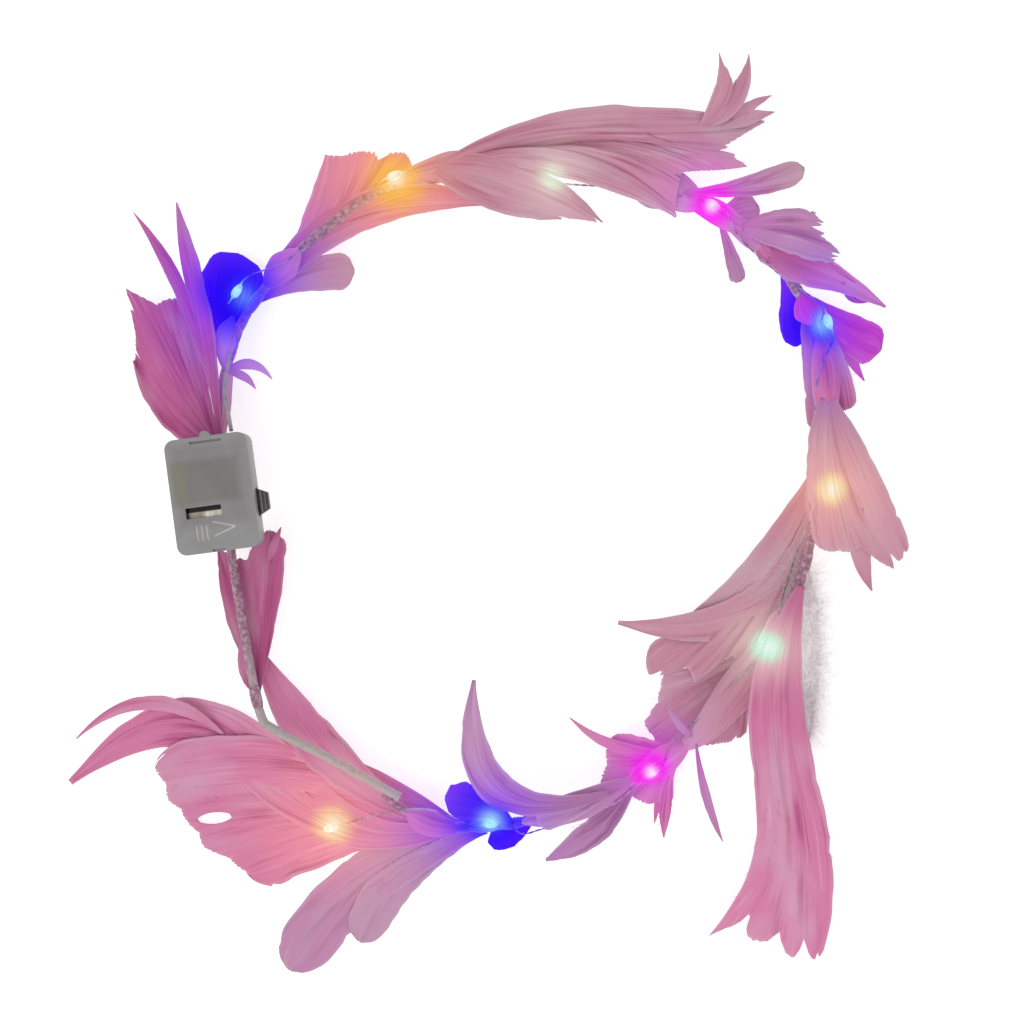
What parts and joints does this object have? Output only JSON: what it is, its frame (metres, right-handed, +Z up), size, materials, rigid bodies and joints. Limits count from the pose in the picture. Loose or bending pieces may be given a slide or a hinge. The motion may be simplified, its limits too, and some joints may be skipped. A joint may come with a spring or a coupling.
{
  "type": "light-up feather crown",
  "caption": "Head wreath of dyed feathers bound to a sleeved wire ring, with a string of small coloured lights fed from a flat coin-cell box.",
  "frame": {"origin": "middle of the footprint, on the surface that the crown lies on", "axes": "+Z up from the surface, +X towards the side across from the battery box, +Y towards the long top feather"},
  "size_m": [0.2664, 0.287, 0.0334],
  "materials": {
    "rose_feather": "dyed barbs, soft sheen",
    "mauve_feather": "dyed barbs, soft sheen",
    "violet_feather": "dyed barbs, lit by the lights",
    "grey_down": "loose down, matt",
    "white_sleeving": "satin",
    "silver_wire": "bright",
    "white_lead": "satin",
    "frosted_case": "frosted, slightly see-through",
    "cell_steel": "bright",
    "black_switch": "satin",
    "blue_light": "clear resin, lit",
    "warm_light": "clear resin, lit",
    "green_light": "clear resin, lit",
    "pink_light": "clear resin, lit"
  },
  "bodies": {
    "crown": {"ring_wire": "white_sleeving", "feather_upper_left": "rose_feather", "feather_top_long": "mauve_feather", "feather_paddle_left": "mauve_feather", "feather_right_blade": "rose_feather", "feather_drop": "rose_feather", "feather_shoulder": "mauve_feather", "feather_barb": "rose_feather", "feather_petal_inner": "violet_feather", "feather_petal_right": "violet_feather", "feather_neck": "rose_feather", "feather_bell": "mauve_feather", "feather_sweep": "mauve_feather", "feather_fluff": "grey_down", "feather_tail": "rose_feather", "feather_down": "mauve_feather", "feather_strand": "violet_feather", "feather_nest": "rose_feather", "feather_leaf": "violet_feather", "feather_curl": "violet_feather", "feather_petal_low": "violet_feather", "feather_petal_blue": "violet_feather", "feather_low_paddle": "mauve_feather", "feather_fan": "rose_feather", "feather_inner_leaf": "rose_feather", "feather_sheath": "rose_feather", "feather_plume_left": "rose_feather", "feather_spikes": "mauve_feather", "feather_petal_left": "violet_feather", "led_01": "blue_light", "led_02": "warm_light", "led_03": "green_light", "led_04": "pink_light", "led_05": "blue_light", "led_06": "warm_light", "led_07": "green_light", "led_08": "pink_light", "led_09": "blue_light", "led_10": "warm_light", "led_wire": "silver_wire", "lead_wire": "white_lead", "box_clip": "frosted_case", "battery_case": "frosted_case", "coin_cell": "cell_steel"},
    "lid": {"battery_lid": "frosted_case"},
    "knob": {"switch_knob": "black_switch"}
  },
  "joints": [
    {"name": "lid_lift", "type": "slide", "parent": "crown", "child": "lid", "axis": [0, 0, 1], "range_m": [0, 0.03]},
    {"name": "switch_slide", "type": "slide", "parent": "crown", "child": "knob", "axis": [-0.1323, 0.9912, 0], "range_m": [-0.002, 0.002]}
  ]
}
